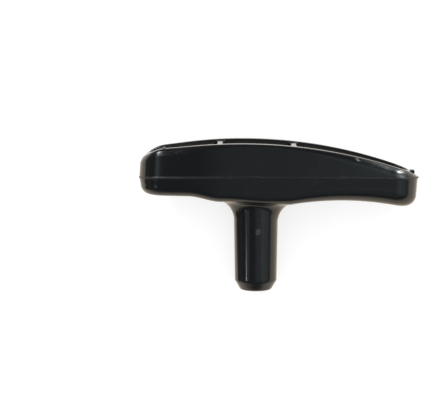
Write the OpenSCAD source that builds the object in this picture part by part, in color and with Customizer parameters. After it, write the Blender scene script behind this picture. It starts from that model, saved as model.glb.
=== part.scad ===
// T-shaped pull handle for a recoil starter: one moulded piece with a hollow back.
// It is drawn standing on its stem, and laid on its side at the end, as it comes to rest.

/* [Bar] */
// Reach of the bar's short end from the stem's axis
short_reach = 37.5; // [34:0.5:42]
// Reach of the bar's long end from the stem's axis
long_reach = 52; // [48:0.1:58]
// Depth of the bar from its front to its rear, at the parting line
bar_depth = 22.4; // [21.6:0.1:25]
// Radius of the short end, seen from above
short_nose_r = 8.9; // [8:0.1:10.2]
// Radius of the long end, seen from above
long_nose_r = 8.1; // [6.5:0.1:9]
// Straight stretch of the sides on the short side of the stem
short_straight = 10; // [6:0.5:14]
// Straight stretch of the sides on the long side of the stem
long_straight = 15; // [11:0.5:20]
// Radius of the bar's lower edges at the short end, and as far as the stem
short_lower_edge_r = 3.4; // [2:0.1:5]
// Radius that they widen to at the long end
long_lower_edge_r = 5.2; // [3:0.1:6]
// Radius of the shoulder below the rim, in the middle of the bar
shoulder_r = 1.35; // [0.8:0.05:2]
// Radius that the shoulder grows to beside the short end
short_shoulder_r = 3.4; // [1:0.1:4.5]
// Radius that the shoulder grows to beside the long end
long_shoulder_r = 4.2; // [1:0.1:5]
// Radius that it narrows to round the short tip
short_tip_shoulder_r = 1.6; // [0.8:0.1:4]
// Radius that it narrows to round the long tip
long_tip_shoulder_r = 3.2; // [0.8:0.1:4.5]
// Angle that the shoulder turns through before the rim's edge
shoulder_turn = 48; // [30:1:60]
// Radius along the outer edge of the rim
rim_edge_r = 0.5; // [0.3:0.05:1]
// How far each mould half narrows the bar from the parting line to its edge
side_draft = 0.4; // [0.1:0.05:0.8]

/* [Back] */
// Height of the back's crest above the underside at the stem
crest_height = 19.2; // [17.5:0.1:22]
// How far the crest lies from the stem's axis, towards the short end
crest_offset = 4.4; // [0:0.1:8]
// Radius of the back's long curve, seen from the front
back_r = 157; // [130:1:220]
// Where the curve becomes a straight slope, from the crest towards the short end
back_straight_from = 16.6; // [12:0.1:20]
// Length of the back's rounding at the short end
short_round_length = 8; // [4:0.1:10]
// Height of the back's rounding at the short end
short_round_height = 3.2; // [2:0.1:6.5]
// Length of the back's rounding at the long end
long_round_length = 3.9; // [2:0.1:6]
// Height of the back's rounding at the long end
long_round_height = 0.3; // [0.1:0.05:0.6]

/* [Parting line] */
// Height of the parting line's two tips above the underside at the stem
parting_height = 7.6; // [7:0.1:8]
// How much the parting line rises from its tips to the middle
parting_rise = 0.95; // [0:0.05:1.5]
// How far the scrap of flash on the long tip stands proud
flash_proud = 0.4; // [0.1:0.05:1]
// Width of that scrap
flash_width = 3; // [1:0.1:5]
// Thickness of that scrap
flash_thickness = 0.6; // [0.3:0.05:1]

/* [Underside] */
// Height of the flat heel above the underside at the stem
heel_height = 2.1; // [0.5:0.1:2.5]
// Where the heel ends, from the stem's axis
heel_end = 22; // [19:0.5:26]
// Where the slope from the heel ends, from the stem's axis
slope_end = 11; // [8:0.5:14]
// Height of that slope's foot above the underside at the stem
slope_foot_height = 0.4; // [0:0.1:1]
// Where the underside is level beside the stem, from the stem's axis
level_from = 4; // [1:0.5:8]
// Radius of the finger hollow under the long end
hollow_r = 91; // [80:1:140]
// Where the hollow is deepest, from the stem's axis
hollow_middle = 26; // [22:0.5:30]
// Height of the hollow's deepest line above the underside at the stem
hollow_height = 0.7; // [0.2:0.05:1.5]

/* [Stem] */
// Length of the stem from its end to the underside
stem_length = 29; // [24:0.1:36]
// Diameter of the stem at the top of its end cone
stem_tip_d = 13.5; // [12:0.1:14.5]
// Diameter that the stem's draft would give it at the underside
stem_root_d = 14.4; // [13:0.1:15.5]
// Diameter of the stem's flat end
stem_end_d = 8.3; // [6.8:0.1:9]
// Angle between the end cone and the stem's axis
cone_angle = 30; // [20:1:45]
// Radius between the end cone and the flat end
stem_edge_r = 1.3; // [0.5:0.1:2]
// Radius of the flare between stem and underside, towards the bar's two ends
flare_r = 6.6; // [4:0.1:8]
// Radius of the same flare at the front and at the rear of the stem
narrow_flare_r = 1.4; // [0.8:0.1:3]

/* [Hollow back] */
// Thickness of the bar's walls at the parting line
wall = 3.4; // [2.4:0.1:4]
// Thickness of the floor over the underside
floor_thickness = 3; // [2.2:0.1:4]
// How far the hollow's walls lean in from its mouth to its floor
hollow_draft = 0.4; // [0.1:0.05:0.8]
// Radius between the hollow's walls and its floor
hollow_edge_r = 2; // [1:0.1:2.6]
// Thickness of the two cross ribs
rib_thickness = 1.85; // [1.2:0.05:2.6]
// Distance of the rib on the short side from the stem's axis
short_rib_at = 11.5; // [8.5:0.1:15]
// Distance of the rib on the long side from the stem's axis
long_rib_at = 12.1; // [8.5:0.1:15]
// How far the ribs stop below the rim
rib_drop = 0.4; // [0.1:0.1:4]
// How far the gate's stub on the rim stops short of the long end
gate_inset = 1.1; // [0.6:0.1:2]
// Length of that stub
gate_length = 1.4; // [0.6:0.1:2]
// Width of that stub
gate_width = 2.4; // [1:0.1:4]
// How far the stub stands above the rim
gate_height = 0.5; // [0.1:0.05:0.8]

/* [Cord] */
// Diameter of the bore that the starter cord runs through
cord_bore_d = 5; // [3.5:0.1:6]
// Depth of the cone that the cord's knot is pulled into
knot_seat_depth = 1.6; // [0.8:0.1:2.2]
// Diameter of that cone at the floor of the middle cell
knot_seat_d = 8.4; // [7:0.1:10]
// Chamfer at the bore's mouth in the stem's end
mouth_chamfer = 0.6; // [0.2:0.1:0.9]

/* [Hidden] */
$fn = 96;

// Steps of the outline: round each nose, along each curved side and along the straight stretch
nose_steps = 8;
side_steps = 6;
straight_steps = 12;
// Steps down the flare, along the underside and round the lower edge
flare_steps = 7;
flat_steps = 6;
lower_steps = 5;
// Steps round the shoulder, the rim's edge, the hollow's floor and the edge of the stem's end
shoulder_steps = 4;
rim_steps = 2;
floor_steps = 3;
stem_edge_steps = 4;
// Most of the way from stem to edge that the flare or the rounding takes where the bar is narrow
narrow_share = 0.4;
// Most of the wall above the parting line that the shoulder and the rim's edge take
shoulder_share = 0.85;
// Overlap where one solid runs into another, and overshoot where one is cut from another
sink = 1;
// Step by which the flare starts outside the stem's own wall
skin_gap = 0.03;

half_depth = bar_depth / 2;
stem_tip_r = stem_tip_d / 2;
stem_root_r = stem_root_d / 2;
stem_end_r = stem_end_d / 2;
parting_tip_z = stem_length + parting_height;
heel_z = stem_length + heel_height;
slope_foot_z = stem_length + slope_foot_height;
hollow_z = stem_length + hollow_height;
crest_z = stem_length + crest_height;

function mix(a, b, t) = a + (b - a) * t;
function ease(a, b, t) = mix(a, b, (1 - cos(180 * min(max(t, 0), 1))) / 2);
// Rise of a fillet of radius r at a distance d inside its outer edge
function fillet_rise(r, d) = d >= r ? 0 : r - sqrt(r * r - pow(r - max(d, 0), 2));
// Drop of a parabola, b high after a length a, at a distance d past its start
function end_drop(a, b, d) = b * pow(max(d, 0) / a, 2);

// Seen from above, each side is an arc that leaves the straight stretch and runs into the nose,
// both without a corner, so the arc's radius and the nose's share of the turn follow from that.
function nose_x(reach, nose_r) = reach - nose_r;
function side_r(reach, nose_r, straight) =
    (pow(nose_x(reach, nose_r) - straight, 2) + pow(half_depth, 2) - pow(nose_r, 2))
    / (2 * (half_depth - nose_r));
function nose_turn(reach, nose_r, straight) =
    90 - atan2(nose_x(reach, nose_r) - straight, side_r(reach, nose_r, straight) - half_depth);

long_side_r = side_r(long_reach, long_nose_r, long_straight);
short_side_r = side_r(short_reach, short_nose_r, short_straight);
long_turn = nose_turn(long_reach, long_nose_r, long_straight);
short_turn = nose_turn(short_reach, short_nose_r, short_straight);

// One point of the outline on an arc, with its outward normal: [x, y, nx, ny]
function on_arc(cx, cy, r, a) = [cx + r * cos(a), cy + r * sin(a), cos(a), sin(a)];
function half_end(reach, nose_r, straight, arc_r, turn) = concat(
    [for (i = [0 : nose_steps]) on_arc(nose_x(reach, nose_r), 0, nose_r, turn * i / nose_steps)],
    [for (i = [1 : side_steps])
        on_arc(straight, half_depth - arc_r, arc_r, mix(turn, 90, i / side_steps))]
);
long_end = half_end(long_reach, long_nose_r, long_straight, long_side_r, long_turn);
short_end = half_end(short_reach, short_nose_r, short_straight, short_side_r, short_turn);
front_half = concat(
    long_end,
    [for (i = [1 : straight_steps - 1])
        [mix(long_straight, -short_straight, i / straight_steps), half_depth, 0, 1]],
    [for (i = [len(short_end) - 1 : -1 : 0])
        [-short_end[i][0], short_end[i][1], -short_end[i][2], short_end[i][3]]]
);
half_count = len(front_half) - 1;
outline = concat(
    front_half,
    [for (i = [half_count - 1 : -1 : 1])
        [front_half[i][0], -front_half[i][1], front_half[i][2], -front_half[i][3]]]
);
count = len(outline);

// Distance of a point inside the outline from its nearest side
function end_inset(x, y, reach, nose_r, straight, arc_r, turn) =
    atan2(y - half_depth + arc_r, x - straight) > turn
        ? arc_r - norm([x - straight, y - half_depth + arc_r])
        : nose_r - norm([x - nose_x(reach, nose_r), y]);
function inset_at(x, y) =
    x > long_straight
        ? end_inset(x, abs(y), long_reach, long_nose_r, long_straight, long_side_r, long_turn)
        : x < -short_straight
            ? end_inset(-x, abs(y), short_reach, short_nose_r, short_straight, short_side_r, short_turn)
            : half_depth - abs(y);

// Heights along the bar: underside, back and parting line
function hollow_at(x) = hollow_z - pow(x - hollow_middle, 2) / (2 * hollow_r);
function under_at(x) =
    x < -slope_end
        ? ease(heel_z, slope_foot_z, (x + heel_end) / (heel_end - slope_end))
        : x < slope_end
            ? ease(slope_foot_z, hollow_at(slope_end), (x + slope_end) / (slope_end + level_from))
            : hollow_at(x);
back_slope = back_straight_from / sqrt(pow(back_r, 2) - pow(back_straight_from, 2));
function back_curve(d) = crest_z - back_r + sqrt(pow(back_r, 2) - pow(d, 2));
function back_plain(x) =
    let (d = x + crest_offset)
    d > -back_straight_from
        ? back_curve(d)
        : back_curve(back_straight_from) + (d + back_straight_from) * back_slope;
function back_at(x) = back_plain(x)
    - end_drop(short_round_length, short_round_height, -x - short_reach + side_draft + short_round_length)
    - end_drop(long_round_length, long_round_height, x - long_reach + side_draft + long_round_length);
bar_middle = (long_reach - short_reach) / 2;
bar_half_length = (long_reach + short_reach) / 2;
function parting_at(x) =
    parting_tip_z + parting_rise * sqrt(max(0, 1 - pow((x - bar_middle) / bar_half_length, 2)));

// The edges' radii give way where the bar is too low for them
function lower_r(x) = min(
    ease(short_lower_edge_r, long_lower_edge_r, x / long_reach),
    parting_at(x) - under_at(x) - 0.3
);

// The wall turns in to the rim over a wide shoulder and then a tight edge. Where the wall is
// too low for both they are pressed flatter.
rim_edge_height = rim_edge_r * (1 - sin(shoulder_turn));
function end_shoulder(x, reach, nose_r, beside_r, tip_r) =
    ease(shoulder_r, beside_r, x / nose_x(reach, nose_r))
    + ease(0, tip_r - beside_r, (x - nose_x(reach, nose_r)) / nose_r);
function shoulder_at(x) = x < 0
    ? end_shoulder(-x, short_reach, short_nose_r, short_shoulder_r, short_tip_shoulder_r)
    : end_shoulder(x, long_reach, long_nose_r, long_shoulder_r, long_tip_shoulder_r);
function rim_drop(x, turn) =
    let (
        r = shoulder_at(x),
        room = shoulder_share * (back_at(x) - parting_at(x)),
        pressed = min(1, room / (r * sin(shoulder_turn) + rim_edge_height))
    )
    pressed * (turn < shoulder_turn
        ? r * (sin(shoulder_turn) - sin(turn)) + rim_edge_height
        : rim_edge_r * (1 - sin(turn)));
// The draft goes on over the shoulder, and is all used up at the rim
function rim_inset(x, turn) =
    side_draft * (1 - rim_drop(x, turn) / (back_at(x) - parting_at(x)))
    + shoulder_at(x) * (1 - cos(min(turn, shoulder_turn)))
    + rim_edge_r * (cos(shoulder_turn) - cos(max(turn, shoulder_turn)));

// The stem's end: a flat, a rounded edge and a cone up to the stem's drafted wall
edge_rise = stem_edge_r * (1 - sin(cone_angle));
edge_reach = stem_end_r + stem_edge_r * cos(cone_angle);
cone_top_z = edge_rise + (stem_tip_r - edge_reach) / tan(cone_angle);
function stem_r(z) = mix(stem_tip_r, stem_root_r, (z - cone_top_z) / (stem_length - cone_top_z));
stem_end_profile = concat(
    [for (k = [0 : stem_edge_steps])
        let (a = mix(-90, -cone_angle, k / stem_edge_steps))
        [stem_end_r + stem_edge_r * cos(a), stem_edge_r * (1 + sin(a))]],
    [[stem_tip_r, cone_top_z]]
);

// The flare's radius changes round the stem, and with it the height where it leaves the stem
function flare_at(a) = mix(narrow_flare_r, flare_r, pow(cos(a), 2));
function flare_foot_r(a) = stem_r(stem_length - flare_at(a));

// Height of the bar's lower skin, with the stem's flare taken from it
function skin_at(x, y) =
    let (a = atan2(y, x))
    under_at(x)
    + fillet_rise(lower_r(x), inset_at(x, y) - side_draft)
    - fillet_rise(flare_at(a), norm([x, y]) - flare_foot_r(a));

// Rings of points round the stem's axis, each with one point for each point of the outline
function stem_angle(i) =
    let (p = outline[i], even = 360 * i / count, seen = atan2(p[1], p[0]))
    (even + seen + (i > half_count ? 360 : 0)) / 2;
// How far step k lies along a straight way of the given length from the stem to the lower edge
under_steps = flare_steps + flat_steps + lower_steps;
function way_at(length, widest, k) =
    let (
        flare = min(widest, narrow_share * length),
        rounding = min(long_lower_edge_r, narrow_share * length)
    )
    k <= flare_steps
        ? flare * (1 - cos(90 * k / flare_steps))
        : k <= flare_steps + flat_steps
            ? mix(flare, length - rounding, (k - flare_steps) / flat_steps)
            : length - rounding * (1 - cos(90 * (under_steps - k) / lower_steps));
function under_ring(k) = [for (i = [0 : count - 1])
    let (
        p = outline[i],
        a = stem_angle(i),
        start = (flare_foot_r(a) + skin_gap) * [cos(a), sin(a)],
        way = [p[0] - p[2] * side_draft, p[1] - p[3] * side_draft] - start,
        at = start + way * way_at(norm(way), flare_at(a), k) / norm(way)
    )
    [at[0], at[1], skin_at(at[0], at[1])]];
function inner_stem_ring() = [for (i = [0 : count - 1])
    let (a = stem_angle(i), r = flare_foot_r(a) - sink)
    [r * cos(a), r * sin(a), stem_length - flare_at(a) + sink]];
function parting_ring() = [for (p = outline) [p[0], p[1], parting_at(p[0])]];
function rim_ring(turn) = [for (p = outline)
    let (inset = rim_inset(p[0], turn), x = p[0] - p[2] * inset)
    [x, p[1] - p[3] * inset, back_at(x) - rim_drop(x, turn)]];

outer_rings = concat(
    [inner_stem_ring()],
    [for (k = [0 : under_steps]) under_ring(k)],
    [parting_ring()],
    [for (k = [0 : shoulder_steps]) rim_ring(shoulder_turn * k / shoulder_steps)],
    [for (k = [1 : rim_steps]) rim_ring(mix(shoulder_turn, 90, k / rim_steps))]
);

// The hollow's rings run from above the rim down its walls, and round into its floor
function cavity_floor(x, inset) =
    under_at(x) + floor_thickness + fillet_rise(hollow_edge_r, inset - wall - hollow_draft);
function cavity_ring(inset) = [for (p = outline)
    let (x = p[0] - p[2] * inset)
    [x, p[1] - p[3] * inset, cavity_floor(x, inset)]];
cavity_rings = concat(
    [for (k = [floor_steps : -1 : 0])
        cavity_ring(wall + hollow_draft + hollow_edge_r * (1 - cos(90 * k / floor_steps)))],
    [[for (p = outline) [p[0] - p[2] * wall, p[1] - p[3] * wall, crest_z + sink]]]
);

// Closes a stack of rings into one solid. Both ends are closed by strips across the bar,
// from each point to the one that faces it on the other side.
function cap_faces(first, up) = [for (i = [0 : half_count - 1])
    let (a = first + i, b = a + 1, c = first + (count - i - 1), d = first + (count - i) % count)
    i == 0
        ? (up ? [a, b, c] : [c, b, a])
        : i == half_count - 1
            ? (up ? [a, b, d] : [d, b, a])
            : (up ? [a, b, c, d] : [d, c, b, a])];
module ring_solid(rings) {
    last = len(rings) - 1;
    walls = [for (k = [0 : last - 1], i = [0 : count - 1])
        let (a = k * count + i, b = k * count + (i + 1) % count)
        [b, a, a + count, b + count]];
    polyhedron(
        points = [for (ring = rings, p = ring) p],
        faces = concat(cap_faces(last * count, false), walls, cap_faces(0, true)),
        convexity = 8
    );
}

// Turned stem with its draft and its end; its top is buried in the bar
module stem() {
    top_z = stem_length + sink;
    rotate_extrude()
        polygon(concat([[0, 0]], stem_end_profile, [[stem_r(top_z), top_z], [0, top_z]]));
}

module rib_box(x) {
    translate([x - rib_thickness / 2, -half_depth, stem_length])
        cube([rib_thickness, bar_depth, back_at(x) - rib_drop - stem_length]);
}

module hollow_back() {
    difference() {
        ring_solid(cavity_rings);
        rib_box(-short_rib_at);
        rib_box(long_rib_at);
    }
}

// Bore through floor and stem, with the knot's cone at its top and a chamfer at its mouth
cell_floor_z = cavity_floor(0, half_depth);
bore_r = cord_bore_d / 2;
module cord_way() {
    translate([0, 0, -sink])
        cylinder(r = bore_r, h = cell_floor_z + 2 * sink);
    translate([0, 0, cell_floor_z - knot_seat_depth])
        rotate_extrude()
            polygon([
                [0, 0],
                [bore_r, 0],
                [knot_seat_d / 2, knot_seat_depth],
                [knot_seat_d / 2, knot_seat_depth + sink],
                [0, knot_seat_depth + sink]
            ]);
    rotate_extrude()
        polygon([
            [0, -sink],
            [bore_r + mouth_chamfer, -sink],
            [bore_r + mouth_chamfer, 0],
            [bore_r, mouth_chamfer],
            [0, mouth_chamfer]
        ]);
}

// What the mould leaves: the gate's stub on the rim and a scrap of flash on the long tip
module gate_stub() {
    stub_x = long_reach - gate_inset - gate_length;
    translate([stub_x, -gate_width / 2, back_at(stub_x) - sink])
        cube([gate_length, gate_width, sink + gate_height]);
}
module flash_scrap() {
    translate([long_reach - sink, -flash_width / 2, parting_tip_z - flash_thickness / 2])
        cube([sink + flash_proud, flash_width, flash_thickness]);
}

// It lies on the top of the stem's end cone and on whatever of the bar reaches the floor first
lie_angle = max([for (ring = outer_rings, p = ring) atan2(p[1] - stem_tip_r, p[2] - cone_top_z)]);
lift = stem_tip_r * cos(lie_angle) - cone_top_z * sin(lie_angle);
function laid_y(p) = p[1] * sin(lie_angle) + p[2] * cos(lie_angle);
far_y = max([for (ring = outer_rings, p = ring) laid_y(p)]);
near_y = min([for (p = stem_end_profile) laid_y([0, -p[0], p[1]])]);
module laid_on_its_side() {
    translate([-bar_middle - flash_proud / 2, -(far_y + near_y) / 2, lift])
        rotate([lie_angle - 90, 0, 0])
            children();
}

module handle() {
    color([0.09, 0.09, 0.1])
        laid_on_its_side()
            difference() {
                union() {
                    ring_solid(outer_rings);
                    stem();
                    gate_stub();
                    flash_scrap();
                }
                hollow_back();
                cord_way();
            }
}

handle();
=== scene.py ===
from collections import namedtuple
from math import atan2, cos, hypot, pi, radians, sin, sqrt, tan

import bmesh
import bpy
from mathutils import Matrix, Vector, noise


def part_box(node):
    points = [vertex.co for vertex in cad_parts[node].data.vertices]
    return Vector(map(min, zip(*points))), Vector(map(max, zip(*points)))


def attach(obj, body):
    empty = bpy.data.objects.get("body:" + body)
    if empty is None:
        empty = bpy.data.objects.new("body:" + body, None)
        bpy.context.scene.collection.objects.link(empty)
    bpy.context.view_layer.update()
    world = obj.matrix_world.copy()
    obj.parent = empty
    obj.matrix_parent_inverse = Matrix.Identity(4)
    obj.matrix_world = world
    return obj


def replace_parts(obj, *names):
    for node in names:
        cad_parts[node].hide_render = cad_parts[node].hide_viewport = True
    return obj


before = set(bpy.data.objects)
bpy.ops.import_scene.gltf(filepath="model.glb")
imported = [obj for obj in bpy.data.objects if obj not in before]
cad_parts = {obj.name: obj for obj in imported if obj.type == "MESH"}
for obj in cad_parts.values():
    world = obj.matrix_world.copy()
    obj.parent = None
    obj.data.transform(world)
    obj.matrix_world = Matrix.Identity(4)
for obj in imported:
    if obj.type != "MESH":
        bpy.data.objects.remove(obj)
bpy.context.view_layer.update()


# The handle: one moulding of glossy black plastic, from a mould that closes on the line round
# the bar. It is lofted in rings, from the bore to the stem's end and up the stem, out along the
# underside, round the bar, over the rim, down into the hollow back and to the bore again.
# Lengths are in millimetres, z runs up the stem from its end and x along the bar.
HALF_DEPTH = 11.2
BarEnd = namedtuple("BarEnd", "reach nose_r straight")
SHORT_END = BarEnd(37.5, 8.9, 10.0)
LONG_END = BarEnd(52.0, 9.2, 15.0)
SIDE_DRAFT = 0.4
SHORT_LOWER_EDGE_R = 3.4
LONG_LOWER_EDGE_R = 5.2
SHOULDER_R = 1.35
SHORT_SHOULDER_R = 3.4
LONG_SHOULDER_R = 4.2
SHORT_TIP_SHOULDER_R = 1.6
LONG_TIP_SHOULDER_R = 3.2
SHOULDER_TURN = radians(48)
SHOULDER_SHARE = 0.85
RIM_EDGE_R = 0.5
STEM_LENGTH = 29.0
CREST_Z = STEM_LENGTH + 19.2
CREST_OFFSET = 4.4
BACK_R = 157.0
BACK_STRAIGHT_FROM = 16.6
# Length and height of the back's rounding at each end
SHORT_ROUND = (8.0, 3.2)
LONG_ROUND = (3.9, 0.3)
PARTING_TIP_Z = STEM_LENGTH + 7.6
PARTING_RISE = 0.95
BEAD_PROUD = 0.1
BEAD_HALF_WIDTH = 0.17
HEEL_Z = STEM_LENGTH + 2.1
HEEL_END = 22.0
SLOPE_END = 11.0
SLOPE_FOOT_Z = STEM_LENGTH + 0.4
LEVEL_FROM = 4.0
FINGER_R = 91.0
FINGER_MIDDLE = 26.0
FINGER_Z = STEM_LENGTH + 0.7
STEM_TIP_R = 6.75
STEM_ROOT_R = 7.2
STEM_END_R = 4.15
STEM_EDGE_R = 1.3
CONE_ANGLE = radians(30)
FLARE_R = 6.6
NARROW_FLARE_R = 1.4
WALL = 3.4
FLOOR = 3.0
HOLLOW_DRAFT = 0.4
HOLLOW_EDGE_R = 2.0
LIP_R = 0.4
BORE_R = 2.5
KNOT_SEAT_R = 4.2
KNOT_SEAT_DEPTH = 1.6
MOUTH_CHAMFER = 0.6
FLASH_PROUD = 0.4


def mix(a, b, t):
    return a + (b - a) * t


def ease(a, b, t):
    return mix(a, b, (1 - cos(pi * min(max(t, 0), 1))) / 2)


def fillet_rise(r, d):
    """Rise of a fillet of radius r at a distance d inside its outer edge."""
    return 0 if d >= r else r - sqrt(max(0, r * r - (r - max(d, 0)) ** 2))


def end_arc(reach, nose_r, straight):
    """The side's arc that runs into the nose without a corner, and where the two meet."""
    across = reach - nose_r - straight
    arc_r = (across ** 2 + HALF_DEPTH ** 2 - nose_r ** 2) / (2 * (HALF_DEPTH - nose_r))
    return reach, nose_r, straight, arc_r, pi / 2 - atan2(across, arc_r - HALF_DEPTH)


SHORT_ARC = end_arc(*SHORT_END)
LONG_ARC = end_arc(*LONG_END)


def end_outline(reach, nose_r, straight, arc_r, turn):
    """Half an end's outline: points and the directions that they face."""
    nose = [turn * i / 18 for i in range(19)]
    side = [mix(turn, pi / 2, i / 18) for i in range(1, 19)]
    return [(centre_x + r * cos(a), centre_y + r * sin(a), cos(a), sin(a))
            for centre_x, centre_y, r, angles in (
                (reach - nose_r, 0, nose_r, nose),
                (straight, HALF_DEPTH - arc_r, arc_r, side))
            for a in angles]


far_side = end_outline(*LONG_ARC)
far_side += [(mix(LONG_END.straight, -SHORT_END.straight, i / 24), HALF_DEPTH, 0, 1)
             for i in range(1, 24)]
far_side += [(-x, y, -nx, ny) for x, y, nx, ny in reversed(end_outline(*SHORT_ARC))]
OUTLINE = far_side + [(x, -y, nx, -ny) for x, y, nx, ny in reversed(far_side[1:-1])]
COUNT = len(OUTLINE)


def inset_at(x, y):
    """Distance of a point inside the outline from the nearest side."""
    y = abs(y)
    if -SHORT_END.straight <= x <= LONG_END.straight:
        return HALF_DEPTH - y
    reach, nose_r, straight, arc_r, turn = LONG_ARC if x > 0 else SHORT_ARC
    x = abs(x)
    if atan2(y - HALF_DEPTH + arc_r, x - straight) > turn:
        return arc_r - hypot(x - straight, y - HALF_DEPTH + arc_r)
    return nose_r - hypot(x - reach + nose_r, y)


def finger_at(x):
    return FINGER_Z - (x - FINGER_MIDDLE) ** 2 / (2 * FINGER_R)


def under_at(x):
    if x < -SLOPE_END:
        return ease(HEEL_Z, SLOPE_FOOT_Z, (x + HEEL_END) / (HEEL_END - SLOPE_END))
    if x < SLOPE_END:
        return ease(SLOPE_FOOT_Z, finger_at(SLOPE_END), (x + SLOPE_END) / (SLOPE_END + LEVEL_FROM))
    return finger_at(x)


def back_at(x):
    d = x + CREST_OFFSET
    z = CREST_Z - BACK_R + sqrt(BACK_R ** 2 - max(d, -BACK_STRAIGHT_FROM) ** 2)
    if d < -BACK_STRAIGHT_FROM:
        slope = BACK_STRAIGHT_FROM / sqrt(BACK_R ** 2 - BACK_STRAIGHT_FROM ** 2)
        z += (d + BACK_STRAIGHT_FROM) * slope
    for past, (length, height) in ((-x - SHORT_END.reach, SHORT_ROUND),
                                   (x - LONG_END.reach, LONG_ROUND)):
        z -= height * (max(past + SIDE_DRAFT + length, 0) / length) ** 2
    return z


def parting_at(x):
    along = (2 * x - LONG_END.reach + SHORT_END.reach) / (LONG_END.reach + SHORT_END.reach)
    return PARTING_TIP_Z + PARTING_RISE * sqrt(max(0, 1 - along ** 2))


def lower_r(x):
    wanted = ease(SHORT_LOWER_EDGE_R, LONG_LOWER_EDGE_R, x / LONG_END.reach)
    return min(wanted, parting_at(x) - under_at(x) - 0.3)


def shoulder_r(x):
    """It widens from the middle of the bar to beside each nose, and narrows round the tip."""
    reach, nose_r, _ = SHORT_END if x < 0 else LONG_END
    beside_r = SHORT_SHOULDER_R if x < 0 else LONG_SHOULDER_R
    tip_r = SHORT_TIP_SHOULDER_R if x < 0 else LONG_TIP_SHOULDER_R
    nose_x = reach - nose_r
    return (ease(SHOULDER_R, beside_r, abs(x) / nose_x)
            + ease(0, tip_r - beside_r, (abs(x) - nose_x) / nose_r))


def rim_drop(x, turn):
    """Drop below the rim, pressed flatter where the wall is too low for the whole shoulder."""
    edge_height = RIM_EDGE_R * (1 - sin(SHOULDER_TURN))
    full = shoulder_r(x) * sin(SHOULDER_TURN) + edge_height
    pressed = min(1, SHOULDER_SHARE * (back_at(x) - parting_at(x)) / full)
    if turn < SHOULDER_TURN:
        return pressed * (shoulder_r(x) * (sin(SHOULDER_TURN) - sin(turn)) + edge_height)
    return pressed * RIM_EDGE_R * (1 - sin(turn))


def rim_inset(x, turn):
    """The draft goes on over the shoulder, and is all used up at the rim."""
    return (SIDE_DRAFT * (1 - rim_drop(x, turn) / (back_at(x) - parting_at(x)))
            + shoulder_r(x) * (1 - cos(min(turn, SHOULDER_TURN)))
            + RIM_EDGE_R * (cos(SHOULDER_TURN) - cos(max(turn, SHOULDER_TURN))))


CONE_FOOT_Z = STEM_EDGE_R * (1 - sin(CONE_ANGLE))
CONE_FOOT_R = STEM_END_R + STEM_EDGE_R * cos(CONE_ANGLE)
CONE_TOP_Z = CONE_FOOT_Z + (STEM_TIP_R - CONE_FOOT_R) / tan(CONE_ANGLE)


def stem_r(z):
    return mix(STEM_TIP_R, STEM_ROOT_R, (z - CONE_TOP_Z) / (STEM_LENGTH - CONE_TOP_Z))


def flare_r(a):
    return mix(NARROW_FLARE_R, FLARE_R, cos(a) ** 2)


def skin_at(x, y):
    """Height of the bar's lower skin, with the stem's flare taken from it."""
    r = flare_r(atan2(y, x))
    return (under_at(x)
            + fillet_rise(lower_r(x), inset_at(x, y) - SIDE_DRAFT)
            - fillet_rise(r, hypot(x, y) - stem_r(STEM_LENGTH - r)))


def stem_angle(i):
    """Where meridian i leaves the stem: between even spacing and the outline's own angle."""
    seen = atan2(OUTLINE[i][1], OUTLINE[i][0])
    return (2 * pi * i / COUNT + seen + (2 * pi if i > COUNT // 2 else 0)) / 2


def circle(r, z):
    """Ring round the bore or the stem."""
    return lambda i: Vector((r * cos(stem_angle(i)), r * sin(stem_angle(i)), z))


def side(inset, height):
    """Ring round the bar, inside its outline, with its height given along the bar."""
    def place(i):
        x, y, nx, ny = OUTLINE[i]
        return Vector((x - nx * inset, y - ny * inset, height(x - nx * inset)))
    return place


def rim(turn):
    """Ring on the shoulder and the rim's edge, by how far the skin has turned inwards."""
    def place(i):
        x, y, nx, ny = OUTLINE[i]
        inset = rim_inset(x, turn)
        x, y = x - nx * inset, y - ny * inset
        return Vector((x, y, back_at(x) - rim_drop(x, turn)))
    return place


def upper_wall(t):
    """Drafted wall between the parting line's bead and the shoulder."""
    def place(i):
        x, y, nx, ny = OUTLINE[i]
        inset = rim_inset(x, 0) * t
        x, y = x - nx * inset, y - ny * inset
        return Vector((x, y, mix(parting_at(x) + BEAD_HALF_WIDTH, back_at(x) - rim_drop(x, 0), t)))
    return place


def under_way(length, flare, k):
    """How far along its way step k lies: crowded on the flare and on the bar's lower edge."""
    down, flat, edge = UNDER_STEPS
    flare = min(flare, 0.4 * length)
    rounding = min(LONG_LOWER_EDGE_R, 0.5 * length)
    if k <= down:
        return flare * (1 - cos(pi / 2 * k / down))
    if k <= down + flat:
        return mix(flare, length - rounding, (k - down) / flat)
    return length - rounding * (1 - cos(pi / 2 * (down + flat + edge - k) / edge))


def under(k):
    """Ring k of the skin from the stem's flare out to the bar's lower edge."""
    def place(i):
        a = stem_angle(i)
        x, y, nx, ny = OUTLINE[i]
        r = flare_r(a)
        foot = stem_r(STEM_LENGTH - r) + 0.002
        start = Vector((foot * cos(a), foot * sin(a)))
        way = Vector((x - nx * SIDE_DRAFT, y - ny * SIDE_DRAFT)) - start
        at = start + way.normalized() * under_way(way.length, r, k)
        return Vector((at.x, at.y, skin_at(at.x, at.y)))
    return place


def stem_wall(t):
    """Drafted wall of the stem between its end cone and the foot of the flare."""
    def place(i):
        a = stem_angle(i)
        z = mix(CONE_TOP_Z, STEM_LENGTH - flare_r(a), t)
        return Vector((stem_r(z) * cos(a), stem_r(z) * sin(a), z))
    return place


def hollow_floor(t):
    """Floor of the hollow, from its edge fillet to the knot's seat."""
    def place(i):
        a = stem_angle(i)
        x, y, nx, ny = OUTLINE[i]
        inset = WALL + HOLLOW_DRAFT + HOLLOW_EDGE_R
        x = mix(x - nx * inset, KNOT_SEAT_R * cos(a), t)
        y = mix(y - ny * inset, KNOT_SEAT_R * sin(a), t)
        return Vector((x, y, under_at(x) + FLOOR))
    return place


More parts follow.
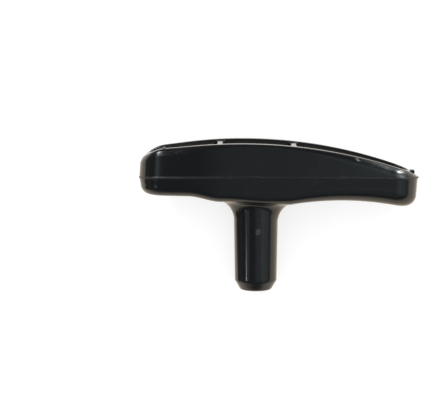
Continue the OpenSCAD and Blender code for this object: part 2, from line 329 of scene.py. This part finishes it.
UNDER_STEPS = (16, 14, 14)
FLOOR_Z = under_at(0) + FLOOR
SEAT_FOOT_Z = FLOOR_Z - KNOT_SEAT_DEPTH
quarter = [pi / 2 * k / 10 for k in range(11)]
rings = [circle(BORE_R, mix(SEAT_FOOT_Z, MOUTH_CHAMFER, k / 12)) for k in range(13)]
rings += [circle(BORE_R + MOUTH_CHAMFER * t, MOUTH_CHAMFER * (1 - t)) for t in (0.05, 0.5, 0.95)]
rings += [circle(BORE_R + MOUTH_CHAMFER + d, 0) for d in (0.03, 0.4)]
rings += [circle(STEM_END_R + STEM_EDGE_R * cos(a), STEM_EDGE_R * (1 + sin(a)))
          for a in [mix(-pi / 2, -CONE_ANGLE, k / 8) for k in range(9)]]
rings += [circle(mix(CONE_FOOT_R, STEM_TIP_R, t), mix(CONE_FOOT_Z, CONE_TOP_Z, t))
          for t in (0.25, 0.5, 0.75, 0.92)]
rings += [circle(STEM_TIP_R - 0.03, CONE_TOP_Z + 0.02)]
rings += [stem_wall(t) for t in (0.02, 0.06, 0.15, 0.3, 0.45, 0.6, 0.75, 0.88, 0.96)]
rings += [under(k) for k in range(sum(UNDER_STEPS) + 1)]
rings += [side(SIDE_DRAFT * (1 - t), lambda x, t=t: mix(
    under_at(x) + lower_r(x), parting_at(x) - BEAD_HALF_WIDTH, t)) for t in (0.3, 0.6, 0.9)]
bead_from = len(rings)
rings += [side(0.02 - (BEAD_PROUD + 0.02) * sqrt(1 - t * t), lambda x, t=t: (
    parting_at(x) + BEAD_HALF_WIDTH * t)) for t in (-1, -0.85, -0.6, -0.3, 0, 0.3, 0.6, 0.85, 1)]
bead_rings = range(bead_from, len(rings))
rings += [upper_wall(t) for t in (0.1, 0.5, 0.9)]
rings += [rim(SHOULDER_TURN * k / 12) for k in range(13)]
rings += [rim(mix(SHOULDER_TURN, pi / 2, k / 5)) for k in range(1, 6)]
rings += [side(WALL - LIP_R * (1 - sin(a)), lambda x, a=a: back_at(x) - LIP_R * (1 - cos(a)))
          for a in quarter[::2]]
hollow_from = len(rings)
rings += [side(WALL + HOLLOW_DRAFT * t, lambda x, t=t: mix(
    back_at(x) - LIP_R, under_at(x) + FLOOR + HOLLOW_EDGE_R, t)) for t in (0.1, 0.3, 0.5, 0.7, 0.9)]
rings += [side(WALL + HOLLOW_DRAFT + HOLLOW_EDGE_R * (1 - cos(a)), lambda x, a=a: (
    under_at(x) + FLOOR + HOLLOW_EDGE_R * (1 - sin(a)))) for a in quarter]
rings += [hollow_floor(k / 14) for k in range(1, 15)]
rings += [circle(mix(KNOT_SEAT_R, BORE_R, t), mix(FLOOR_Z, SEAT_FOOT_Z, t))
          for t in (0.05, 0.35, 0.65, 0.95, 1)]
hollow_rings = range(hollow_from, len(rings))


def next_ring(shape, ring):
    """Extrudes a loft's open ring and gives the vertices of the new one."""
    held = set(ring)
    edges = dict.fromkeys(
        edge for vert in ring for edge in vert.link_edges if held.issuperset(edge.verts))
    made = bmesh.ops.extrude_edge_only(shape, edges=list(edges))["geom"]
    return [item for item in made if isinstance(item, bmesh.types.BMVert)]


moulding = bmesh.new()
meridian = moulding.verts.layers.int.new("meridian")
seam = moulding.verts.layers.float.new("seam_rough_and_sheen")
unpolished_and_bounce_lit = moulding.verts.layers.float.new("unpolished_and_bounce_lit")
ring = bmesh.ops.create_circle(moulding, radius=BORE_R, segments=COUNT)["verts"]
for i, vert in enumerate(ring):
    vert[meridian] = i
    vert.co = rings[0](i)
for number, ring_place in enumerate(rings[1:], 1):
    ring = next_ring(moulding, ring)
    for vert in ring:
        vert.co = ring_place(vert[meridian])
        vert[seam] = float(number in bead_rings)
        vert[unpolished_and_bounce_lit] = float(number in hollow_rings)
bmesh.ops.remove_doubles(moulding, verts=moulding.verts, dist=1e-4)
bmesh.ops.recalc_face_normals(moulding, faces=moulding.faces)

# It lies on the top of the stem's end cone and on whatever of the bar reaches the floor first
LIE = max(atan2(vert.co.y - STEM_TIP_R, vert.co.z - CONE_TOP_Z)
          for vert in moulding.verts if vert.co.z > STEM_LENGTH)
LIFT = STEM_TIP_R * cos(LIE) - CONE_TOP_Z * sin(LIE)
low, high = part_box("handle")
turned = Matrix.Scale(0.001, 4) @ Matrix.Rotation(LIE - pi / 2, 4, "X")
laid = Matrix.Translation((
    (low[0] + high[0] - (LONG_END.reach + FLASH_PROUD - SHORT_END.reach) / 1000) / 2,
    high[1] - max((turned @ vert.co).y for vert in moulding.verts),
    LIFT / 1000)) @ turned


handle_pieces = []


def finished(name, shape):
    """Lays a shape on its side and makes it a smooth piece that rides on the root body."""
    bmesh.ops.transform(shape, matrix=laid, verts=shape.verts)
    mesh = bpy.data.meshes.new(name)
    shape.to_mesh(mesh)
    shape.free()
    mesh.shade_smooth()
    piece = bpy.data.objects.new(name, mesh)
    bpy.context.scene.collection.objects.link(piece)
    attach(piece, "root")
    handle_pieces.append(piece)
    return piece


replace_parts(finished("handle_moulding", moulding), "handle")


# The two cross ribs that brace the hollow back, moulded in one with it. Each is lofted across
# the bar from a closed profile, and runs out into the walls and the floor with a small fillet.
RIB_HALF = 0.925
RIB_FILLET = 0.7
RIB_DROP = 0.4
RIB_TOP_R = 0.3
# Points of the profile on the rib's top: its two edge rounds, past a foot point, a fillet and
# two points of the side
ROUND_POINTS = len(quarter[::2])
RIB_TOP = range(ROUND_POINTS + 3, 3 * ROUND_POINTS + 3)
RIB_PLACES = {"short_side_rib": -11.5, "long_side_rib": 12.1}
WALL_FACE = HALF_DEPTH - WALL - 0.2
# Where the sections lie, from 0 on the bar's middle plane to 1 on the wall's face
section_shares = [0.2, 0.5, 0.8, 0.91, 0.94, 0.97, 0.99, 1, 1.06, 1.14]
section_shares = [-share for share in reversed(section_shares)] + section_shares


def rib_profile(x, y):
    """Points round the rib's section at a depth y, from its foot on one side over its top."""
    foot, top = under_at(x) + FLOOR, back_at(x) - RIB_DROP
    half = RIB_HALF + fillet_rise(RIB_FILLET, max(0, WALL_FACE - abs(y)))
    rise = [(half + RIB_FILLET, foot - 1)]
    rise += [(half + RIB_FILLET * (1 - sin(a)), foot + RIB_FILLET * (1 - cos(a)))
             for a in quarter[::2]]
    rise += [(half, mix(foot + RIB_FILLET, top - RIB_TOP_R, t)) for t in (0.33, 0.66)]
    rise += [(half - RIB_TOP_R * (1 - cos(a)), top - RIB_TOP_R * (1 - sin(a)))
             for a in quarter[::2]]
    return [Vector((x + side_x, y, z)) for side_x, z in rise] + [
        Vector((x - side_x, y, z)) for side_x, z in reversed(rise)]


for name, x in RIB_PLACES.items():
    rib = bmesh.new()
    order = rib.verts.layers.int.new("order")
    core_side = rib.verts.layers.float.new("unpolished_and_bounce_lit")
    places = rib_profile(x, WALL_FACE * section_shares[0])
    ring = bmesh.ops.create_circle(rib, radius=1, segments=len(places), cap_ends=True)["verts"]
    for i, vert in enumerate(ring):
        vert[order] = i
        vert.co = places[i]
    for share in section_shares[1:]:
        places = rib_profile(x, WALL_FACE * share)
        ring = next_ring(rib, ring)
        for vert in ring:
            vert.co = places[vert[order]]
    for vert in rib.verts:
        vert[core_side] = float(vert[order] not in RIB_TOP)
    open_edges = [edge for edge in rib.edges if edge.is_boundary]
    bmesh.ops.holes_fill(rib, edges=open_edges)
    bmesh.ops.recalc_face_normals(rib, faces=rib.faces)
    finished(name, rib)


# The gate's stub: where the plastic ran into the mould, broken off rough on the rim's long tip.
# A block whose top is divided and torn, with its edges taken down a little.
GATE_INSET = 1.1
GATE_LENGTH = 1.4
GATE_WIDTH = 2.4
GATE_HEIGHT = 0.5
GATE_DEPTH = 1.9
GATE_EDGE_R = 0.14
gate = bmesh.new()
gate_end = LONG_END.reach - GATE_INSET
gate_top = back_at(gate_end - GATE_LENGTH) + GATE_HEIGHT
bmesh.ops.create_cube(gate, size=1, matrix=Matrix.Translation((
    gate_end - GATE_LENGTH / 2, 0, gate_top - GATE_DEPTH / 2)) @ Matrix.Diagonal(
        (GATE_LENGTH, GATE_WIDTH, GATE_DEPTH, 1)))
bmesh.ops.bevel(gate, geom=gate.edges[:], offset=GATE_EDGE_R, segments=3, profile=0.5,
                affect="EDGES", material=-1)
long_edges = [edge for edge in gate.edges if edge.calc_length() > 0.5]
bmesh.ops.subdivide_edges(gate, edges=long_edges, cuts=6, use_grid_fill=True)
for vert in gate.verts:
    if vert.co.z > gate_top - GATE_EDGE_R - 0.02:
        torn = noise.noise(vert.co * 2.1) * 0.14 + noise.noise(vert.co * 5.3) * 0.05
        vert.co.z += torn - 0.1 - 0.12 * (vert.co.x - gate_end + GATE_LENGTH)
finished("gate_stub", gate)


# The scrap of flash at the parting line on the long tip: a thin torn fin of the same plastic,
# drawn out of a flat block and thinned towards its free edge.
FLASH_ROOT = 0.6
FLASH_WIDTH = 3.0
FLASH_THICKNESS = 0.6
FLASH_EDGE_R = 0.04
flash = bmesh.new()
flash_z = parting_at(LONG_END.reach)
bmesh.ops.create_cube(flash, size=1, matrix=Matrix.Translation((
    LONG_END.reach + (FLASH_PROUD - FLASH_ROOT) / 2, 0, flash_z)) @ Matrix.Diagonal(
        (FLASH_ROOT + FLASH_PROUD, FLASH_WIDTH, FLASH_THICKNESS, 1)))
long_edges = [edge for edge in flash.edges if edge.calc_length() > 0.8]
bmesh.ops.subdivide_edges(flash, edges=long_edges, cuts=9, use_grid_fill=True)
for vert in flash.verts:
    out = (vert.co.x - LONG_END.reach) / FLASH_PROUD
    if out > 0:
        rag = 0.78 + 0.22 * noise.noise(Vector((0, vert.co.y * 2.3, 0)))
        narrowed = sqrt(max(0, 1 - (2 * vert.co.y / FLASH_WIDTH) ** 2))
        vert.co.x = LONG_END.reach + FLASH_PROUD * out * rag * (0.25 + 0.75 * narrowed)
        vert.co.z = mix(vert.co.z, flash_z, 0.72 * out)
sharp_edges = [edge for edge in flash.edges if edge.calc_face_angle(0) > 1]
bmesh.ops.bevel(flash, geom=sharp_edges, offset=FLASH_EDGE_R, segments=2, profile=0.5,
                affect="EDGES", material=-1)
bmesh.ops.remove_doubles(flash, verts=flash.verts, dist=0.002)
finished("flash_scrap", flash)


# A burr on the rim beside the short nose, thrown up where the edge was nicked: a small uneven lump,
# half sunk in the rim. Its pale colour is a painted highlight, standing for a glint on the rim's
# edge.
BURR_X = -29.3
BURR_INSET = 2.4
BURR_SIZE = (0.55, 0.45, 0.45)
burr = bmesh.new()
painted_glint = burr.verts.layers.float.new("painted_glint")
bmesh.ops.create_icosphere(burr, subdivisions=3, radius=1)
for vert in burr.verts:
    vert.co *= 1 + 0.3 * noise.noise(vert.co * 1.7)
    vert[painted_glint] = 1.0
bmesh.ops.transform(burr, verts=burr.verts, matrix=Matrix.Translation((
    BURR_X, BURR_INSET - SHORT_END.nose_r, back_at(BURR_X) + 0.1)) @ Matrix.Diagonal(
        (*BURR_SIZE, 1)))
finished("rim_burr", burr)


# Glossy black moulded plastic. The mould's polish leaves a faint orange peel and long waves, and
# handling leaves hazy patches, hairline scratches and some deeper scuffs with pale, dull bottoms.
# Some of its paler colour is painted light: a highlight on the stem and on the burr, a sheen on the
# seam's bead, and warm light bounced into the hollow.
class Value:
    """A node's socket that Python's arithmetic works on: each operation adds a Math node."""

    tree = None

    def __init__(self, socket):
        self.socket = socket

    @classmethod
    def node(cls, kind, settings=None, output=0, **inputs):
        """A node of any kind: its settings first, then values or links by its sockets' names,
        or by their places as i0, i1 and so on."""
        made = cls.tree.nodes.new(kind)
        for name, setting in (settings or {}).items():
            setattr(made, name, setting)
        for name, given in inputs.items():
            key = int(name[1:]) if name[0] == "i" and name[1:].isdigit() else name.replace("_", " ")
            if isinstance(given, Value):
                cls.tree.links.new(given.socket, made.inputs[key])
            else:
                made.inputs[key].default_value = given
        return cls(made.outputs[output])

    @classmethod
    def math(cls, operation, *given):
        inputs = {"i%d" % number: value for number, value in enumerate(given)}
        return cls.node("ShaderNodeMath", {"operation": operation}, **inputs)

    def __add__(self, other):
        return Value.math("ADD", self, other)

    def __mul__(self, other):
        return Value.math("MULTIPLY", self, other)

    def __sub__(self, other):
        return Value.math("SUBTRACT", self, other)

    def __rsub__(self, other):
        return Value.math("SUBTRACT", other, self)

    def __truediv__(self, other):
        return Value.math("DIVIDE", self, other)

    __radd__ = __add__
    __rmul__ = __mul__

    def between(self, low, high):
        """0 below low and 1 above high, smooth between them."""
        return Value.node("ShaderNodeMapRange", {"interpolation_type": "SMOOTHSTEP"},
                          Value=self, From_Min=low, From_Max=high)


black = bpy.data.materials.new("black_plastic")
black.use_nodes = True
Value.tree = black.node_tree
shader = black.node_tree.nodes["Principled BSDF"]
on_handle = Value.node("ShaderNodeTexCoord", output="Object")
waves = Value.node("ShaderNodeTexNoise", Vector=on_handle, Scale=75.0, Detail=2.0)
peel = Value.node("ShaderNodeTexNoise", Vector=on_handle, Scale=1500.0, Detail=3.0)
haze = Value.node("ShaderNodeTexNoise", Vector=on_handle, Scale=210.0, Detail=5.0, Roughness=0.6)

# Hairlines: narrow bands of a warped, stretched noise in two directions, broken up by the haze
hairline = 0
for turn, stretch in ((0.5, (60, 2600, 900)), (-0.9, (2400, 90, 700))):
    lines = Value.node("ShaderNodeMapping", Vector=on_handle, Rotation=(0.3, 0.2, turn),
                       Scale=stretch)
    lines = Value.node("ShaderNodeTexNoise", Vector=lines, Scale=1.0, Detail=1.0, Distortion=0.4)
    hairline = hairline + lines.between(0.66, 0.74) * haze.between(0.5, 0.68)

# Scuffs, and one painted highlight on the stem: middle and direction on the handle as it lies, seen
# from above, in metres and degrees, then half length and half width in metres, and how pale the
# scuff is
x_axis = Value.node("ShaderNodeSeparateXYZ", output="X", Vector=on_handle)
y_axis = Value.node("ShaderNodeSeparateXYZ", output="Y", Vector=on_handle)
z_axis = Value.node("ShaderNodeSeparateXYZ", output="Z", Vector=on_handle)
scuff_and_glint = 0
upper_face = z_axis.between(0.011, 0.0125)
for x, y, angle, half_length, half_width, pale in (
        (0.0248, 0.0171, -38, 0.0010, 0.00034, 1.0),
        # On the stem: a pale patch that is a painted highlight standing for a glint, over a slight
        # dent and dullness
        (-0.0068, -0.0058, 66, 0.0011, 0.0008, 0.75),
        (-0.0055, -0.0135, 74, 0.0018, 0.00018, 0.16),
        (-0.0305, 0.0068, -12, 0.0020, 0.00018, 0.12),
        (0.0118, 0.0098, 24, 0.0024, 0.00016, 0.16)):
    cosine, sine = cos(radians(angle)), sin(radians(angle))
    along = ((x_axis - x) * cosine + (y_axis - y) * sine) / half_length
    aside = ((y_axis - y) * cosine - (x_axis - x) * sine) / half_width
    from_middle = Value.math("POWER", along, 2) + Value.math("POWER", aside, 2)
    scuff_and_glint = scuff_and_glint + from_middle.between(1.5, 0.25) * upper_face * pale
scuff_and_glint = Value.math("MINIMUM", scuff_and_glint * (haze * 0.9 + 0.55), 1)
height = waves * 0.02 + peel * 0.0011 - hairline * 0.0012 - scuff_and_glint * 0.012
bump = Value.node("ShaderNodeBump", Height=height, Distance=0.001, Strength=1.0)
black.node_tree.links.new(bump.socket, shader.inputs["Normal"])
# The seam's bead was scraped, which leaves it rougher, and it is a touch paler, a painted sheen
# along the line; the core that shaped the hollow wasn't polished, so the hollow is rougher, and its
# brownish colour is painted warm light bounced in from the paper; the burr's pale colour is a
# painted highlight
seam_mark = Value.node("ShaderNodeAttribute", {"attribute_name": "seam_rough_and_sheen"}, output="Fac")
hollow_mark = Value.node("ShaderNodeAttribute", {"attribute_name": "unpolished_and_bounce_lit"}, output="Fac")
rough = (haze.between(0.45, 0.75) * 0.06 + 0.145 + hairline * 0.12 + scuff_and_glint * 0.3
         + seam_mark * 0.3 + hollow_mark * 0.3)
black.node_tree.links.new(rough.socket, shader.inputs["Roughness"])
glint_mark = Value.node("ShaderNodeAttribute", {"attribute_name": "painted_glint"}, output="Fac")
dull = Value.math("MINIMUM", scuff_and_glint * 0.3 + hairline * 0.03 + haze.between(0.5, 0.8) * 0.012
                  + seam_mark * 0.01 + glint_mark, 1)
colour = Value.node("ShaderNodeMix", {"data_type": "RGBA"}, output=2,
                    i0=dull, i6=(0.0068, 0.0074, 0.0083, 1), i7=(0.17, 0.17, 0.165, 1))
# Painted light: the hollow's brownish colour stands for warm light bounced into it from the paper
colour = Value.node("ShaderNodeMix", {"data_type": "RGBA"}, output=2,
                    i0=hollow_mark, i6=colour, i7=(0.040, 0.035, 0.028, 1))
black.node_tree.links.new(colour.socket, shader.inputs["Base Color"])
for piece in handle_pieces:
    piece.data.materials.append(black)


# White table top that the handle lies on, of plain paper. The plastic mirrors it with its own dark
# and bright parts, which stand for what lay round the handle, and with a painted shadow left of the
# stem.
PAPER_LEVEL = 1.08
WINDOW_FOOT_LEVEL = 8
DARK_LEVEL = 0.1
table = bmesh.new()
bmesh.ops.create_grid(table, x_segments=1, y_segments=1, size=2)
table_mesh = bpy.data.meshes.new("table_top")
table.to_mesh(table_mesh)
table.free()
table_top = bpy.data.objects.new("table_top", table_mesh)
bpy.context.scene.collection.objects.link(table_top)
paper = bpy.data.materials.new("white_paper")
paper.use_nodes = True
Value.tree = paper.node_tree
Value.tree.nodes.remove(Value.tree.nodes["Principled BSDF"])
mirrored_ray = Value.node("ShaderNodeLightPath", output="Is Glossy Ray")
on_table = Value.node("ShaderNodeTexCoord", output="Object")
across = Value.node("ShaderNodeSeparateXYZ", output="X", Vector=on_table)
away = Value.node("ShaderNodeSeparateXYZ", output="Y", Vector=on_table)
# As the plastic mirrors it, the paper ends on the left, and a painted shadow, a dark patch, lies
# left of the stem
coming = Value.node("ShaderNodeNewGeometry", output="Incoming")
westward = Value.node("ShaderNodeSeparateXYZ", output="X", Vector=coming).between(0.7, 0.85)
northward = Value.node("ShaderNodeSeparateXYZ", output="Y", Vector=coming).between(-0.02, -0.15)
painted_shadow_patch = (westward * across.between(-0.029, -0.036)
        * away.between(-0.045, -0.038) * away.between(0.002, -0.004))
paper_seen = across.between(-0.125, -0.1) * (1 - painted_shadow_patch)
# The paper lies bright below the window on the right
from_nose = Value.math("ARCTAN2", away - 0.013, across - 0.039)
window_foot = (from_nose.between(radians(46), radians(49))
               * from_nose.between(radians(55), radians(53))
               * across.between(0.066, 0.076) * across.between(0.9, 0.7))
diffuse = Value.node("ShaderNodeMix", {"data_type": "RGBA"}, output=2,
                     i0=mirrored_ray, i6=(0.5, 0.5, 0.5, 1), i7=(0.02, 0.02, 0.02, 1))
diffuse = Value.node("ShaderNodeBsdfDiffuse", Color=diffuse)
glow = Value.node("ShaderNodeMix", {"data_type": "RGBA"}, output=2,
                  i0=northward, i6=(1, 0.89, 0.73, 1), i7=(1, 0.97, 0.92, 1))
mirrored_level = paper_seen * PAPER_LEVEL + window_foot * WINDOW_FOOT_LEVEL + DARK_LEVEL
glow = Value.node("ShaderNodeEmission", Color=glow, Strength=mirrored_ray * mirrored_level)
camera_ray = Value.node("ShaderNodeLightPath", output="Is Camera Ray")
white_glow = Value.node("ShaderNodeEmission", Color=(1, 1, 1, 1), Strength=camera_ray * 0.7)
both = Value.node("ShaderNodeAddShader", i0=glow, i1=white_glow)
both = Value.node("ShaderNodeAddShader", i0=diffuse, i1=both)
Value.tree.links.new(both.socket, Value.tree.nodes["Material Output"].inputs["Surface"])
table_mesh.materials.append(paper)


# Studio: white walls, a dark ceiling as the plastic mirrors it, and lamps to the left and right.
# The camera sees plain white, and only mirrored rays see the boxes and the window.
WALL_LEVEL = 0.85
CEILING_LEVEL = 0.1
WINDOW_LEVEL = 26
SLIVER_LEVEL = 5
LAMP_DISTANCE = 0.7
world = bpy.data.worlds.new("studio")
bpy.context.scene.world = world
world.use_nodes = True
Value.tree = world.node_tree
camera_ray = Value.node("ShaderNodeLightPath", output="Is Camera Ray")
mirrored_ray = Value.node("ShaderNodeLightPath", output="Is Glossy Ray")
direction = Value.node("ShaderNodeTexCoord", output="Generated")
up = Value.node("ShaderNodeSeparateXYZ", output="Z", Vector=direction)
east = Value.node("ShaderNodeSeparateXYZ", output="X", Vector=direction)
north = Value.node("ShaderNodeSeparateXYZ", output="Y", Vector=direction)
mirrored_room = (up.between(0.22, -0.02) * (1 - east.between(-0.6, -0.9) * 0.8) * WALL_LEVEL
                 + CEILING_LEVEL)
# Soft boxes that only show as mirrored light: direction, cosines of outer and inner edge, level
for towards, outer, inner, strength in (
        ((0.575, 0.137, 0.806), 0.965, 0.995, 0.3),
        ((0.771, 0.164, 0.616), 0.966, 0.995, 2.0),
        ((0.762, 0.476, 0.438), 0.927, 0.985, 2.2),
        ((0.707, 0.230, 0.669), 0.928, 0.982, 1.5),
        ((0.518, 0.209, 0.829), 0.87, 0.96, 0.24),
        ((0.3, 0.0, 0.95), 0.85, 0.99, 0.2),
        ((0.308, -0.533, 0.788), 0.82, 0.978, 0.17),
        ((0.774, -0.215, 0.598), 0.88, 0.99, 0.45),
        ((-0.620, 0.511, 0.595), 0.9863, 0.9976, 7.5),
        ((-0.653, 0.238, 0.719), 0.968, 0.996, 1.7),
        ((-0.655, -0.139, 0.743), 0.98, 0.998, 0.65)):
    facing = Value.node("ShaderNodeVectorMath", {"operation": "DOT_PRODUCT"}, output="Value",
                        i0=direction, i1=Vector(towards).normalized())
    mirrored_room = mirrored_room + facing.between(outer, inner) * strength
# A tall window low down to the right, between two bearings and two heights, and a sliver of
# another beside it
bearing = Value.math("ARCTAN2", north, east)
window = (bearing.between(radians(55), radians(52.5)) * bearing.between(radians(44), radians(47))
          * up.between(0.48, 0.4) * up.between(-0.05, 0.02))
sliver = (bearing.between(radians(63), radians(61)) * bearing.between(radians(54), radians(56))
          * up.between(0.24, 0.21) * up.between(0.1, 0.14))
mirrored_room = mirrored_room + window * WINDOW_LEVEL + sliver * SLIVER_LEVEL
unseen_level = mirrored_ray * mirrored_room + (1 - mirrored_ray) * WALL_LEVEL
level = camera_ray + (1 - camera_ray) * unseen_level
Value.tree.links.new(level.socket, Value.tree.nodes["Background"].inputs["Strength"])
tint = Value.node("ShaderNodeMix", {"data_type": "RGBA"}, output=2,
                  i0=up.between(0.0, 0.35), i6=(1, 0.92, 0.8, 1), i7=(0.84, 0.96, 1, 1))
tint = Value.node("ShaderNodeMix", {"data_type": "RGBA"}, output=2,
                  i0=mirrored_ray, i6=(1, 1, 1, 1), i7=tint)
Value.tree.links.new(tint.socket, Value.tree.nodes["Background"].inputs["Color"])


def lamp(name, polar, azimuth, size, radiance):
    """A round lamp that faces the handle, by its angles from straight up and from +X."""
    data = bpy.data.lights.new(name, "AREA")
    data.shape = "DISK"
    data.size = size
    disk_area = pi * size ** 2 / 4
    data.energy = radiance * pi * disk_area
    data.color = (0.86, 0.95, 1.0)
    housing = bpy.data.objects.new(name, data)
    polar, azimuth = radians(polar), radians(azimuth)
    towards = Vector((sin(polar) * cos(azimuth), sin(polar) * sin(azimuth), cos(polar)))
    housing.location = towards * LAMP_DISTANCE
    housing.rotation_euler = housing.location.to_track_quat("Z", "Y").to_euler()
    bpy.context.scene.collection.objects.link(housing)


lamp("lamp_left_rear", 67, 131, 0.15, 20)
lamp("lamp_right_rear", 76, 50.5, 0.05, 22)
lamp("lamp_left", 56.5, 202.3, 0.035, 34)


# Camera straight above the stem's end, with its lens shifted up to the middle of the handle,
# so that the slot behind the rim looks as thin as it does from there.
camera_data = bpy.data.cameras.new("camera")
camera_data.lens = 197.3
camera_data.sensor_width = 36
camera_data.shift_y = 0.0849
camera = bpy.data.objects.new("camera", camera_data)
camera.location = (-0.019, -0.00942, 0.7866)
bpy.context.scene.collection.objects.link(camera)
bpy.context.scene.camera = camera
bpy.context.scene.view_settings.view_transform = "Standard"
